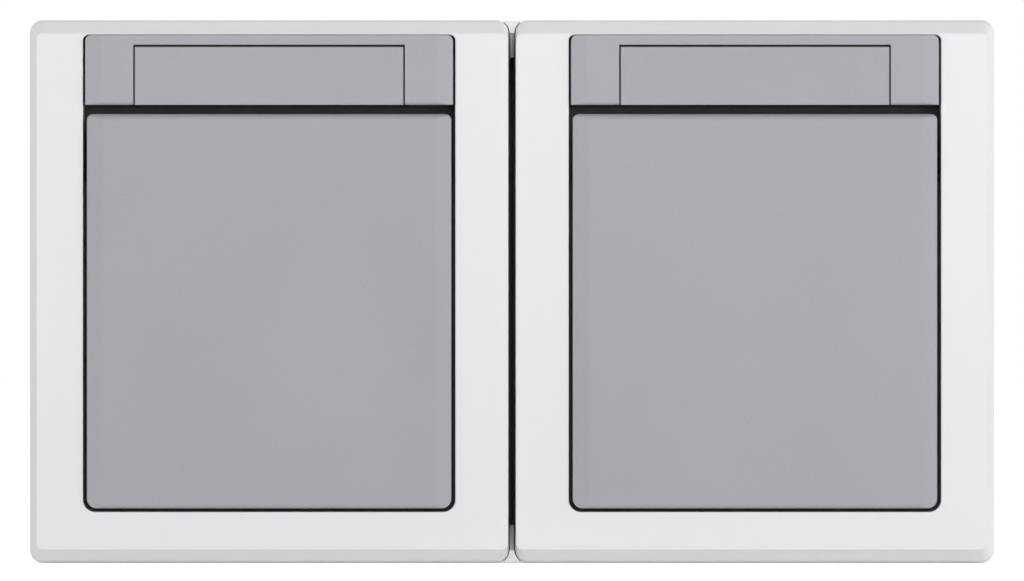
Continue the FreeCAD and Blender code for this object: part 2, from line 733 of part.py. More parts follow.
def make_frame(name, across, outer):
    """Frame: a moulded shell with bevelled edges, open at the back, round the insert.

    outer is the side away from the groove. The bevel beside the groove is the narrow one.
    """
    body = new_body(name, across)
    bevel_start = "front_depth - bevel_depth"
    outline = ("frame_width", "frame_height")
    side_end = "(%s - frame_side_rise)" % bevel_start
    block = Drawing(body, "front", frame_back).round_box("0", "0", *outline, "frame_corner")
    add(body, block, "%s - %s" % (side_end, frame_back))
    low = Drawing(body, "front", side_end).round_box("0", "0", *outline, "frame_corner")
    middle = Drawing(body, "front", bevel_start).round_box(
        "0 %s (bevel_groove / 2 - frame_side_inset) / 2" % outer,
        "0",
        "frame_width - frame_side_inset - bevel_groove / 2",
        "frame_height - 2 * frame_side_inset",
        "frame_corner - frame_side_inset",
    )
    high = Drawing(body, "front", "front_depth").round_box(
        "0 %s (bevel_groove - bevel_side) / 2" % outer,
        "0",
        "frame_width - bevel_side - bevel_groove",
        "frame_height - 2 * bevel_upright",
        "bevel_corner",
    )
    taper(body, low, middle, high)

    hollow = Drawing(body, "front", "front_depth - frame_face")
    hollow.round_box(
        "0",
        "0",
        "frame_width - 2 * frame_wall",
        "frame_height - 2 * frame_wall",
        "frame_corner / 2",
    )
    cut(body, hollow, "front_depth - frame_face - %s" % frame_back)
    opening = ("0", opening_middle, "opening_width", opening_height)
    corners = ("opening_bottom_corner", "opening_top_corner")
    window = Drawing(body, "front", "front_depth").round_box(*opening, *corners)
    cut(body, window, "2 * frame_face")

    skirt_back = "%s + skirt_clearance" % plate_front
    skirt_top = "(%s + opening_top_border / 2)" % opening_top
    skirt_bottom = "(%s - skirt_wall)" % opening_bottom
    skirt = Drawing(body, "front", skirt_back)
    skirt.round_box(
        "0",
        "(%s + %s) / 2" % (skirt_top, skirt_bottom),
        "opening_width + 2 * skirt_wall",
        "%s - %s" % (skirt_top, skirt_bottom),
        "opening_bottom_corner + skirt_wall",
        "opening_top_corner",
    )
    skirt.round_box(*opening, *corners)
    add(body, skirt, "front_depth - frame_face / 2 - (%s)" % skirt_back)

    ledge = Drawing(body, "front", "%s + frame_seal_height" % rim_top)
    ledge.round_box(
        "0", "0", "frame_width - frame_wall", "frame_height - frame_wall", "frame_corner / 2"
    )
    ledge.round_box(
        "0",
        "0",
        "frame_width - 2 * frame_wall - 2 * seal_ledge_width",
        "frame_height - 2 * frame_wall - 2 * seal_ledge_width",
        "frame_corner / 2",
    )
    add(body, ledge, "seal_ledge_height")

    half_width = value("opening_width") / 2
    low_corner = (-half_width, value(opening_bottom))
    high_corner = (half_width, value(opening_top))
    front_edge = at_depth("front_depth")
    round_edges(
        body,
        "frame_edge_round",
        lambda edge: front_edge(edge) and within(edge, low_corner, high_corner),
    )
    return body


def make_frame_seal(name, across):
    """Rubber ring that lies on the back box's rim, under the frame's inner ledge."""
    body = new_body(name, across)
    ring = Drawing(body, "front", rim_top)
    ring.round_box("0", "0", rim_width, rim_height, "frame_corner")
    ring.round_box(
        "0",
        "0",
        "%s - 2 * rim_wall" % rim_width,
        "%s - 2 * rim_wall" % rim_height,
        "frame_corner / 2",
    )
    add(body, ring, "frame_seal_height")
    return body


def make_groove_seal():
    """Rubber strip that stands on the back box's bridge, in the groove between the frames."""
    body = new_body("groove_seal")
    strip = Drawing(body, "front", "housing_depth")
    strip.box("0", "0", "frame_groove - 2 * groove_seal_play", "2 * groove_rib_start")
    add(body, strip, "groove_seal_height")
    return body


def cut_facets(body, width, low, height):
    """A shallow sloping facet down each side of a front face."""
    facets = Drawing(body, "top", low)
    for side in ("-", "+"):
        edge = "0 %s %s / 2" % (side, width)
        crease = "0 %s (%s / 2 - facet_width)" % (side, width)
        facets.polygon((crease, lid_front), (edge, lid_front), (edge, "%s - facet_drop" % lid_front))
    cut(body, facets, height, reverse=True)


def on_ear(angle):
    """The point of an ear's round end at an angle from the front towards the top."""
    return (
        "%s + ear_radius * cos(%s)" % (hinge_depth, angle),
        "%s + ear_radius * sin(%s)" % (hinge_height, angle),
    )


def make_cover_plate(name, across):
    """Insert: plate with a seat for the cup, the hinge pocket with its ears, and the label's platform."""
    body = new_body(name, across)
    plate_width = "(opening_width + 2 * plate_overlap)"
    plate_bottom = "(%s - plate_overlap)" % opening_bottom
    plate = Drawing(body, "front", plate_back).round_box(
        "0",
        "(%s + %s) / 2" % (strip_top, plate_bottom),
        plate_width,
        "%s - %s" % (strip_top, plate_bottom),
        "opening_bottom_corner",
        "opening_top_corner",
    )
    add(body, plate, "plate_thickness")
    platform_top = "(%s + platform_overlap)" % seat_top
    platform = Drawing(body, "front", plate_back)
    platform.box(
        "0",
        "(%s + %s) / 2" % (platform_top, strip_bottom),
        "%s + 2 * platform_overlap" % seat_width,
        "%s - %s" % (platform_top, strip_bottom),
    )
    add(body, platform, "%s - %s" % (seat_floor, plate_back))

    block_back = "(%s - hinge_pocket_wall)" % pocket_floor
    block_top = "(%s + strip_wall)" % strip_bottom
    block_bottom = "(%s - hinge_pocket_wall)" % pocket_bottom
    block = Drawing(body, "front", block_back)
    block.box(
        "0",
        "(%s + %s) / 2" % (block_top, block_bottom),
        plate_width,
        "%s - %s" % (block_top, block_bottom),
    )
    add(body, block, "%s - %s" % (plate_front, block_back))

    pocket = Drawing(body, "front", plate_front)
    pocket.box(
        "0",
        "(%s + %s) / 2" % (strip_bottom, pocket_bottom),
        "opening_width",
        "%s - %s" % (strip_bottom, pocket_bottom),
    )
    cut(body, pocket, "%s - %s" % (plate_front, pocket_floor))
    bore = Drawing(body, "front", plate_front)
    bore.circle("0", recess_middle, "%s + cup_play" % cup_radius)
    cut(body, bore, "%s - %s" % (plate_front, block_back))
    step = Drawing(body, "front", plate_front)
    step.circle("0", recess_middle, "%s + cup_flange + cup_play" % cup_radius)
    cut(body, step, "cup_flange_thickness + cup_play")
    hollow = Drawing(body, "front", plate_back)
    hollow.box(
        "0",
        strip_middle,
        "%s + 2 * platform_overlap - 2 * strip_wall" % seat_width,
        "strip_height - 2 * strip_wall",
    )
    cut(body, hollow, "strip_hollow_depth", reverse=True)
    peg_holes = Drawing(body, "front", plate_front)
    for side in ("-", "+"):
        peg_holes.circle(
            "0 %s strip_peg_offset" % side, strip_middle, "strip_peg_radius + strip_peg_play"
        )
    cut(body, peg_holes, "strip_peg_length + strip_peg_play")

    for side in ("-", "+"):
        start = "0 %s ear_offset - ear_thickness / 2" % side
        foot = Drawing(body, "side", start)
        foot.polygon(
            (pocket_floor, "%s + ear_foot_up" % hinge_height),
            on_ear("ear_upper_angle"),
            (hinge_depth, hinge_height),
            on_ear("ear_lower_angle"),
            (pocket_floor, "%s - ear_foot_down" % hinge_height),
        )
        add(body, foot, "ear_thickness")
        eye = Drawing(body, "side", start).circle(hinge_depth, hinge_height, "ear_radius")
        add(body, eye, "ear_thickness")
    pin_bore = Drawing(body, "side", "ear_offset + ear_thickness")
    pin_bore.circle(hinge_depth, hinge_height, "hinge_pin_radius + hinge_pin_play")
    cut(body, pin_bore, "2 * (ear_offset + ear_thickness)")

    coil_length = "(spring_turns * spring_pitch)"
    rest = Drawing(body, "front", pocket_floor)
    rest.box(
        "-%s / 2" % coil_length,
        "%s + spring_rest_length / 2" % pocket_bottom,
        "spring_rest_width",
        "spring_rest_length",
    )
    rest_top = "(%s - spring_coil_radius - spring_wire_radius - spring_play)" % hinge_depth
    add(body, rest, "%s - %s" % (rest_top, pocket_floor))

    tabs = Drawing(body, "front", seat_floor)
    for side in ("-", "+"):
        tabs.box(
            "0 %s label_tab_pitch / 2" % side,
            "%s + label_tab_rise" % strip_bottom,
            "label_tab_width + 2 * label_tab_clearance",
            "label_tab_height + 2 * label_tab_clearance",
        )
    cut(body, tabs, "strip_hollow_depth")
    return body


def cut_clip_slots(body, front, length):
    """Slots above and below the middle of the recess for the earth clips."""
    slots = Drawing(body, "front", front)
    slot_inner = "(earth_bow_radius - earth_strip - earth_back_play)"
    slot_outer = "(%s + earth_back_play)" % cup_radius
    for side in ("-", "+"):
        slots.box(
            "0",
            from_recess("0 %s (%s + %s) / 2" % (side, slot_inner, slot_outer)),
            "clip_slot_width",
            "%s - %s" % (slot_outer, slot_inner),
        )
    cut(body, slots, length)


def make_socket_cup(name, across):
    """Cup of the recess: its flange presses the insert back when the centre screw is tightened."""
    body = new_body(name, across)
    wall = Drawing(body, "front", floor_back).circle("0", recess_middle, cup_radius)
    add(body, wall, "recess_depth + recess_floor")
    flange = Drawing(body, "front", "%s - cup_flange_thickness" % plate_front)
    flange.circle("0", recess_middle, "%s + cup_flange" % cup_radius)
    add(body, flange, "cup_flange_thickness")
    bore = Drawing(body, "front", plate_front).circle("0", recess_middle, recess_radius)
    cut(body, bore, "%s - %s" % (plate_front, ledge_front))
    ledge_hole = Drawing(body, "front", ledge_front)
    ledge_hole.circle("0", recess_middle, "%s - cup_ledge" % recess_radius)
    cut(body, ledge_hole, "cup_ledge_thickness")

    ribs = Drawing(body, "front", ledge_front)
    rib_outer = "(%s + recess_wall / 2)" % recess_radius
    for side in ("-", "+"):
        ribs.box(
            "0 %s (%s + %s) / 2" % (side, rib_inner, rib_outer),
            recess_middle,
            "%s - %s" % (rib_outer, rib_inner),
            "guide_rib_width",
        )
    add(body, ribs, "%s - guide_rib_setback - %s" % (plate_front, ledge_front))
    slot_front = "(%s - clip_slot_sink)" % plate_front
    cut_clip_slots(body, slot_front, "%s - %s" % (slot_front, floor_back))
    return body


def make_socket_floor(name, across):
    """Floor of the recess: lies on the cup's ledge, keyed by the guide ribs, and has the spindle."""
    body = new_body(name, across)
    disc = Drawing(body, "front", ledge_front)
    disc.circle("0", recess_middle, "%s - floor_play" % recess_radius)
    add(body, disc, "%s - %s" % (floor_front, ledge_front))
    spigot = Drawing(body, "front", ledge_front)
    spigot.circle("0", recess_middle, "%s - cup_ledge - floor_play" % recess_radius)
    add(body, spigot, "cup_ledge_thickness", reverse=True)

    notches = Drawing(body, "front", floor_front)
    pins = Drawing(body, "front", floor_front)
    notch_inner = "(%s - floor_play)" % rib_inner
    for side in ("-", "+"):
        notches.box(
            "0 %s (%s + %s) / 2" % (side, notch_inner, recess_radius),
            recess_middle,
            "%s - %s" % (recess_radius, notch_inner),
            "guide_rib_width + 2 * floor_play",
        )
        pins.circle("0 %s pin_pitch / 2" % side, recess_middle, "pin_hole_diameter / 2")
    cut(body, notches, "recess_floor")
    cut(body, pins, "recess_floor")
    cut_clip_slots(body, floor_front, "recess_floor")

    spindle = Drawing(body, "front", floor_back).circle("0", recess_middle, "spindle_radius")
    add(body, spindle, "shutter_room", reverse=True)
    screw_hole = Drawing(body, "front", floor_front)
    screw_hole.circle("0", recess_middle, "screw_shank_radius + centre_head_play")
    cut(body, screw_hole, "recess_floor + shutter_room")
    head_seat = Drawing(body, "front", floor_front)
    head_seat.circle("0", recess_middle, "centre_head_radius + centre_head_play")
    cut(body, head_seat, "centre_head_height + centre_head_play / 2")
    return body


def make_label_strip(name, across):
    """Strip round the label field, over the insert's platform, pressed on by two pegs."""
    body = new_body(name, across)
    strip = Drawing(body, "front", plate_front).round_box(
        "0", strip_middle, strip_width, "strip_height", "strip_clearance", "opening_top_corner"
    )
    add(body, strip, "%s - %s" % (lid_front, plate_front))
    below = "(%s - %s)" % (strip_bottom, MARGIN)
    over_platform = "(%s + platform_overlap + platform_play)" % seat_top
    shelter = Drawing(body, "front", plate_front)
    shelter.box(
        "0",
        "(%s + %s) / 2" % (over_platform, below),
        "%s + 2 * (platform_overlap + platform_play)" % seat_width,
        "%s - %s" % (over_platform, below),
    )
    cut(body, shelter, "%s + platform_play - %s" % (seat_floor, plate_front), reverse=True)
    window = Drawing(body, "front", lid_front)
    window.box(
        "0", "(%s + %s) / 2" % (seat_top, below), seat_width, "%s - %s" % (seat_top, below)
    )
    cut(body, window, "%s - %s" % (lid_front, plate_front))
    pegs = Drawing(body, "front", plate_front)
    for side in ("-", "+"):
        pegs.circle("0 %s strip_peg_offset" % side, strip_middle, "strip_peg_radius")
    add(body, pegs, "strip_peg_length", reverse=True)
    lower_round = Drawing(body, "side", "%s / 2" % strip_width)
    lower_round.rounding(lid_front, strip_bottom, "strip_lower_round", "-")
    cut(body, lower_round, strip_width)
    cut_facets(body, strip_width, strip_bottom, "strip_height")
    return body


def make_label(name, across):
    """Snap-in label field with two tabs that hold it in the strip."""
    body = new_body(name, across)
    back = "(%s - label_thickness)" % lid_front
    field = Drawing(body, "front", back)
    field.box("0", "%s + label_height / 2" % strip_bottom, "label_width", "label_height")
    add(body, field, "label_thickness")
    tabs = Drawing(body, "front", back)
    for side in ("-", "+"):
        tabs.box(
            "0 %s label_tab_pitch / 2" % side,
            "%s + label_tab_rise" % strip_bottom,
            "label_tab_width",
            "label_tab_height",
        )
    add(body, tabs, "label_tab_length", reverse=True)
    return body


def make_lid(name, across):
    """Lid: flat front, walls down both sides and below, two hinge knuckles and a ring rib."""
    body = new_body(name, across)
    outline = ("0", lid_middle, lid_width, lid_height)
    corners = ("lid_bottom_corner", "lid_top_corner")
    face = Drawing(body, "front", lid_under).round_box(*outline, *corners)
    add(body, face, "lid_thickness")
    wall_back = "(%s + lid_wall_clearance)" % plate_front
    walls = Drawing(body, "front", wall_back).round_box(*outline, *corners)
    walls.box(
        "0", lid_middle, "%s - 2 * lid_wall" % lid_width, "%s - 2 * lid_wall" % lid_height
    )
    add(body, walls, "%s - %s" % (lid_under, wall_back))
    wall_top = "(%s + ear_radius)" % hinge_height
    clear = Drawing(body, "front", lid_under)
    clear.box(
        "0",
        "(%s + %s) / 2 + %s / 2" % (wall_top, lid_top, MARGIN),
        "%s + 2 * %s" % (lid_width, MARGIN),
        "%s - %s + %s" % (lid_top, wall_top, MARGIN),
    )
    cut(body, clear, "%s - %s" % (lid_under, wall_back))

    knuckle_inner = "(ear_offset + ear_thickness / 2 + knuckle_gap)"
    knuckle_length = "(%s / 2 - lid_wall / 2 - %s)" % (lid_width, knuckle_inner)
    for side, start in (("-", "-%s - %s" % (knuckle_inner, knuckle_length)), ("+", knuckle_inner)):
        eye = Drawing(body, "side", start).circle(hinge_depth, hinge_height, "ear_radius")
        add(body, eye, knuckle_length)
        neck = Drawing(body, "side", start)
        neck.box(
            "(%s + %s) / 2" % (hinge_depth, lid_under),
            hinge_height,
            "%s - %s" % (lid_under, hinge_depth),
            "2 * ear_radius",
        )
        add(body, neck, knuckle_length)
    pin_bore = Drawing(body, "side", "%s / 2" % lid_width)
    pin_bore.circle(hinge_depth, hinge_height, "hinge_pin_radius + hinge_pin_grip")
    cut(body, pin_bore, lid_width)

    rib = Drawing(body, "front", "%s + seal_rib_setback" % plate_front)
    rib.circle("0", recess_middle, "seal_rib_inner_radius + seal_rib_wall")
    rib.circle("0", recess_middle, "seal_rib_inner_radius")
    add(body, rib, "%s - %s - seal_rib_setback" % (lid_under, plate_front))

    top_round = Drawing(body, "side", "%s / 2" % lid_width)
    top_round.rounding(lid_front, lid_top, "lid_top_round", "+")
    cut(body, top_round, lid_width)
    bottom_round = Drawing(body, "side", "%s / 2" % lid_width)
    bottom_round.rounding(lid_front, lid_bottom, "lid_bottom_round", "-")
    cut(body, bottom_round, lid_width)
    cut_facets(body, lid_width, lid_bottom, lid_height)
    return body


def make_hinge_pin(name, across):
    """Steel pin that turns in the insert's ears and is gripped by the lid's knuckles."""
    body = new_body(name, across)
    half_length = "(%s / 2 - hinge_pin_sink)" % lid_width
    pin = Drawing(body, "side", "-%s" % half_length)
    pin.circle(hinge_depth, hinge_height, "hinge_pin_radius")
    add(body, pin, "2 * %s" % half_length)
    return body


def make_lid_spring(name, across):
    """Torsion spring round the hinge pin: one leg on the insert, the other behind the lid."""
    return wound_wire(
        name,
        "%s + spring_turns * spring_pitch / 2" % across,
        hinge_depth,
        hinge_height,
        FreeCAD.Vector(-1, 0, 0),
        FreeCAD.Vector(0, -value("spring_coil_radius"), 0),
        value("spring_wire_radius"),
        value("spring_pitch"),
        value("spring_turns"),
        value("spring_leg_length"),
    )


def make_lid_seal(name, across):
    """Rubber ring pushed over the lid's rib; it closes on the plate round the recess."""
    body = new_body(name, across)
    inner = "seal_rib_inner_radius - seal_wall"
    outer = "seal_rib_inner_radius + seal_rib_wall + seal_wall"
    groove_floor = "(%s + seal_rib_setback - seal_play)" % plate_front
    back = "(%s + seal_gap)" % plate_front
    ring = Drawing(body, "front", back)
    ring.circle("0", recess_middle, outer)
    ring.circle("0", recess_middle, inner)
    add(body, ring, "%s - %s + seal_grip" % (groove_floor, back))
    groove = Drawing(body, "front", groove_floor)
    groove.circle("0", recess_middle, "seal_rib_inner_radius + seal_rib_wall + seal_play")
    groove.circle("0", recess_middle, "seal_rib_inner_radius - seal_play")
    cut(body, groove, "seal_grip", reverse=True)
    return body


def make_shutter(name, across):
    """Rotary shutter: a hub with two wings over the pin holes, each ramped on one side."""
    body = new_body(name, across)
    back = "(%s + shutter_play)" % carrier_front
    front = "(%s - shutter_play)" % floor_back
    hub = Drawing(body, "front", back).circle("0", recess_middle, "shutter_hub_radius")
    add(body, hub, "%s - %s" % (front, back))
    wings = Drawing(body, "front", back)
    wings.box("0", recess_middle, "2 * shutter_reach", "shutter_wing_width")
    add(body, wings, "%s - %s" % (front, back))
    for side, low in (("-", "+"), ("+", "-")):
        ramp = Drawing(body, "side", "0 %s shutter_hub_radius" % side)
        edge = from_recess("0 %s shutter_wing_width / 2" % low)
        crest = from_recess("0 %s shutter_ramp_crest" % side)
        ramp.polygon((front, crest), (front, edge), ("%s + shutter_ramp_edge" % back, edge))
        cut(body, ramp, "shutter_reach", reverse=side == "+")
    spindle_bore = Drawing(body, "front", front)
    spindle_bore.circle("0", recess_middle, "spindle_radius + spindle_play")
    cut(body, spindle_bore, "%s - %s" % (front, back))
    spring_seat = Drawing(body, "front", back).circle("0", recess_middle, "shutter_spring_seat")
    cut(body, spring_seat, "shutter_spring_seat_depth", reverse=True)
    return body


def make_shutter_spring(name, across):
    """Open ring of spring wire, laid in the shutter's hub."""
    body = new_body(name, across, "0", recess_middle)
    wire = Drawing(body, "side")
    wire_depth = "%s + shutter_spring_wire_radius + spring_play" % carrier_front
    wire.circle(wire_depth, "shutter_spring_radius", "shutter_spring_wire_radius")
    ring = body.newObject("PartDesign::Revolution", "turned")
    ring.Profile = wire.sketch
    ring.ReferenceAxis = (wire.sketch, ["H_Axis"])
    ring.setExpression("Angle", bound("shutter_spring_sweep"))
    doc.recompute([wire.sketch, ring])
    return body


def make_carrier(name, across):
    """Moulded block with a chamber for each contact, a bush in the middle and two screw seats."""
    body = new_body(name, across)
    block = Drawing(body, "front", carrier_back)
    block.round_box("0", recess_middle, "carrier_width", "carrier_height", "carrier_corner")
    add(body, block, "carrier_depth")
    chambers = Drawing(body, "front", carrier_front)
    for side in ("-", "+"):
        chambers.box(
            "0 %s (cavity_inner + cavity_outer) / 2" % side,
            recess_middle,
            "cavity_outer - cavity_inner",
            "cavity_height",
        )
    cut(body, chambers, "carrier_depth - cavity_back")
    bush_hole = Drawing(body, "front", carrier_front)
    bush_hole.circle("0", recess_middle, "bush_radius + screw_play")
    cut(body, bush_hole, "bush_length")
    seats = Drawing(body, "front", carrier_front)
    holes = Drawing(body, "front", carrier_front)
    for spot_across, spot_up in carrier_screw_spots():
        seats.circle("0 %s" % spot_across, spot_up, "carrier_head_radius + carrier_head_play")
        holes.circle("0 %s" % spot_across, spot_up, "carrier_screw_hole")
    cut(body, seats, "carrier_head_sink")
    cut(body, holes, "carrier_depth")
    wire_depth = "%s + wire_hole_depth" % terminal_back
    for side, reverse in (("+", True), ("-", False)):
        channel = Drawing(body, "top", recess_middle)
        channel.circle("0 %s terminal_offset" % side, wire_depth, "wire_channel_radius")
        cut(body, channel, "carrier_height", reverse=reverse)
    return body


def make_contact(name, across, side):
    """Folded brass contact: two sprung leaves round the plug's pin, and a terminal block."""
    body = new_body(name, across)

    def out(distance):
        return "0 %s (pin_pitch / 2 + %s)" % (side, distance)

    inner, outer = "contact_gap / 2", "contact_gap / 2 + contact_leaf"
    tip = "(%s - contact_front_setback)" % carrier_front
    bend = "(%s - contact_flare_length)" % tip
    base_front = "(%s + contact_leaf)" % terminal_back
    clip = Drawing(body, "top", recess_middle)
    clip.polygon(
        (out("-(%s)" % outer), terminal_back),
        (out(outer), terminal_back),
        (out(outer), bend),
        (out("%s + contact_flare" % outer), tip),
        (out("%s + contact_flare" % inner), tip),
        (out(inner), bend),
        (out(inner), base_front),
        (out("-(%s)" % inner), base_front),
        (out("-(%s)" % inner), bend),
        (out("-(%s + contact_flare)" % inner), tip),
        (out("-(%s + contact_flare)" % outer), tip),
        (out("-(%s)" % outer), bend),
    )
    add(body, clip, "contact_height", both_ways=True)
    block = Drawing(body, "top", recess_middle)
    block.box(
        "0 %s terminal_offset" % side,
        "(%s + %s) / 2" % (terminal_back, terminal_front),
        "terminal_width",
        "terminal_depth",
    )
    add(body, block, "terminal_height", both_ways=True)
    link = Drawing(body, "top", recess_middle)
    link.box(
        "0 %s (pin_pitch / 2 + terminal_offset) / 2" % side,
        "%s + contact_leaf / 2" % terminal_back,
        "terminal_offset - pin_pitch / 2",
        "contact_leaf",
    )
    add(body, link, "contact_height", both_ways=True)
    wire_hole = Drawing(body, "top", recess_middle)
    wire_depth = "%s + wire_hole_depth" % terminal_back
    wire_hole.circle("0 %s terminal_offset" % side, wire_depth, "wire_hole_radius")
    cut(body, wire_hole, "2 * terminal_height", both_ways=True)
    screw_hole = Drawing(body, "front", terminal_front)
    screw_place = ("0 %s terminal_offset" % side, recess_middle)
    screw_hole.circle(*screw_place, "screw_shank_radius + screw_play")
    cut(body, screw_hole, "terminal_depth - wire_hole_depth")
    return body


def make_earth_bracket(name, across):
    """Bent strip behind the carrier; its two arms end as the side clips of the recess."""
    body = new_body(name, across)
    front = "(%s - earth_back_play)" % carrier_back
    back = "(%s - earth_strip)" % front
    base = Drawing(body, "front", back)
    base.box("0", recess_middle, "earth_width", "2 * earth_arm_radius + earth_strip")
    add(body, base, "earth_strip")
    bow_start = "(%s + earth_bow_start)" % floor_front
    bow = "(%s + earth_bow_depth)" % floor_front
    tip = "(%s + earth_bow_tip_depth)" % floor_front
    centre_line = (
        (back, "earth_arm_radius"),
        (bow_start, "earth_arm_radius"),
        (bow, "earth_bow_radius"),
        (tip, "earth_tip_radius"),
    )
    for side in ("-", "+"):
        arm = Drawing(body, "side")
        outer = [(d, from_recess("0 %s (%s + earth_strip / 2)" % (side, r))) for d, r in centre_line]
        inner = [(d, from_recess("0 %s (%s - earth_strip / 2)" % (side, r))) for d, r in centre_line]
        arm.polygon(*outer, *reversed(inner))
        add(body, arm, "earth_width", both_ways=True)
    tab = Drawing(body, "front", terminal_back)
    tab_reach = "(earth_terminal_offset + terminal_width / 2)"
    tab.box("%s / 2" % tab_reach, from_recess("earth_arm_radius"), tab_reach, "earth_strip")
    add(body, tab, "terminal_depth")
    block = Drawing(body, "front", terminal_back)
    block_place = ("earth_terminal_offset", from_recess(earth_terminal_height))
    block.box(*block_place, "terminal_width", "earth_terminal_rise")
    add(body, block, "terminal_depth")
    wire_hole = Drawing(body, "side", "%s + %s" % (tab_reach, MARGIN))
    wire_hole.circle("%s + wire_hole_depth" % terminal_back, block_place[1], "wire_hole_radius")
    cut(body, wire_hole, "terminal_width + 2 * %s" % MARGIN)
    screw_hole = Drawing(body, "front", terminal_front)
    screw_hole.circle(*block_place, "screw_shank_radius + screw_play")
    cut(body, screw_hole, "terminal_depth - wire_hole_depth")
    return body


def make_screws(name, across, spots, head_back, head, shank, reach, cross):
    """Screws that stand across the wall: shank, round head and a drive slot or cross."""
    body = new_body(name, across)
    head_radius, head_height = head
    shanks = Drawing(body, "front", "%s - (%s)" % (head_back, reach))
    heads = Drawing(body, "front", head_back)
    for place in spots:
        shanks.circle(*place, shank)
        heads.circle(*place, head_radius)
    add(body, shanks, reach)
    add(body, heads, head_height)
    length = "drive_slot_share * %s" % head_radius
    sides = ((length, "drive_slot_width"), ("drive_slot_width", length))
    for width, height in sides if cross else sides[:1]:
        slots = Drawing(body, "front", "%s + %s" % (head_back, head_height))
        for place in spots:
            slots.box(*place, width, height)
        cut(body, slots, "drive_slot_depth")
    return body


def make_bush(name, across):
    """Threaded brass bush pressed into the carrier for the centre screw."""
    body = new_body(name, across)
    bush = Drawing(body, "front", "%s - bush_length" % carrier_front)
    bush.circle("0", recess_middle, "bush_radius")
    bush.circle("0", recess_middle, "screw_shank_radius + screw_play")
    add(body, bush, "bush_length - screw_play")
    return body


def make_half(half, outer):
    """Every piece of one half of the double socket; outer is its side away from the groove."""
    across = "0 %s %s" % (outer, half_pitch)
    terminal_spots = (
        ("terminal_offset", recess_middle),
        ("-terminal_offset", recess_middle),
        ("earth_terminal_offset", from_recess(earth_terminal_height)),
    )
    carrier_spots = [("0 %s" % spot_across, up) for spot_across, up in carrier_screw_spots()]
    return [
        make_frame(half + "_frame", across, outer),
        make_frame_seal(half + "_frame_seal", across),
        make_cover_plate(half + "_cover_plate", across),
        make_socket_cup(half + "_socket_cup", across),
        make_socket_floor(half + "_socket_floor", across),
        make_label_strip(half + "_label_strip", across),
        make_label(half + "_label_insert", across),
        make_lid(half + "_lid", across),
        make_hinge_pin(half + "_hinge_pin", across),
        make_lid_spring(half + "_lid_spring", across),
        make_lid_seal(half + "_lid_seal", across),
        make_shutter(half + "_shutter", across),
        make_shutter_spring(half + "_shutter_spring", across),
        make_carrier(half + "_contact_carrier", across),
        make_contact(half + "_line_contact", across, "-"),
        make_contact(half + "_neutral_contact", across, "+"),
        make_earth_bracket(half + "_earth_bracket", across),
        make_bush(half + "_centre_bush", across),
        make_screws(
            half + "_terminal_screws",
            across,
            terminal_spots,
            terminal_front,
            ("terminal_head_radius", "terminal_head_height"),
            "screw_shank_radius",
            "terminal_screw_reach",
            cross=False,
        ),
        make_screws(
            half + "_carrier_screws",
            across,
            carrier_spots,
            "(%s - carrier_head_sink)" % carrier_front,
            ("carrier_head_radius", "carrier_head_height"),
            "carrier_screw_radius",
            "carrier_depth - carrier_head_sink + carrier_screw_reach",
            cross=True,
        ),
        make_screws(
            half + "_centre_screw",
            across,
            [("0", recess_middle)],
            "(%s - centre_head_height - centre_head_play / 2)" % floor_front,
            ("centre_head_radius", "centre_head_height"),
            "screw_shank_radius",
            "recess_floor - centre_head_height + shutter_room + centre_screw_reach",
            cross=True,
        ),
    ]


nodes = [make_housing(), make_grommets(), make_groove_seal()]
nodes += make_half("left", "-")
nodes += make_half("right", "+")
doc.recompute()

for item in doc.Objects:
    if "Invalid" in item.State or "Error" in item.State:
        raise RuntimeError("%s failed" % item.Label)
for node in nodes:
    if node.Shape.isNull() or not node.Shape.isValid() or not node.Shape.Solids:
        raise RuntimeError("%s has no sound shape" % node.Label)

os.makedirs("parts", exist_ok=True)
for node in nodes:
    node.Shape.exportStep(os.path.join("parts", node.Label + ".step"))
    box = node.Shape.BoundBox
    print(
        "%-26s solids %d  volume %9.2f  x %7.2f %7.2f  y %7.2f %7.2f  z %7.2f %7.2f"
        % (node.Label, len(node.Shape.Solids), node.Shape.Volume, box.XMin, box.XMax,
           box.YMin, box.YMax, box.ZMin, box.ZMax)
    )
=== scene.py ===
import math

import bpy
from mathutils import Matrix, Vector


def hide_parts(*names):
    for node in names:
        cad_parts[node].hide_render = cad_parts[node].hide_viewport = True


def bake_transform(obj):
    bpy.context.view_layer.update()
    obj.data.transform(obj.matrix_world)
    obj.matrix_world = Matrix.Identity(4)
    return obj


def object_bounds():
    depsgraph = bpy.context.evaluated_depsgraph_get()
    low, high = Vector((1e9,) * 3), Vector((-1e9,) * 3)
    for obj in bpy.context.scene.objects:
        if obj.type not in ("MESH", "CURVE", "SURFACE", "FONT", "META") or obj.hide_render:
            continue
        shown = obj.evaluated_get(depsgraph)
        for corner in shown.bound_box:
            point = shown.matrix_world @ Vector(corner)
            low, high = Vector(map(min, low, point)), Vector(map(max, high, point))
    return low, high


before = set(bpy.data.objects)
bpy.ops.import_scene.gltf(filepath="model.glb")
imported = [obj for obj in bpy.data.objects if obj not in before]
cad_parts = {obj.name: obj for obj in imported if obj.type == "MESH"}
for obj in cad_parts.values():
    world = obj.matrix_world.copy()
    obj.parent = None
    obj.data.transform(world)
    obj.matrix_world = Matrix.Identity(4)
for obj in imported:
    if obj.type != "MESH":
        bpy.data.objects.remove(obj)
cad_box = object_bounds()
bpy.ops.object.select_all(action="DESELECT")

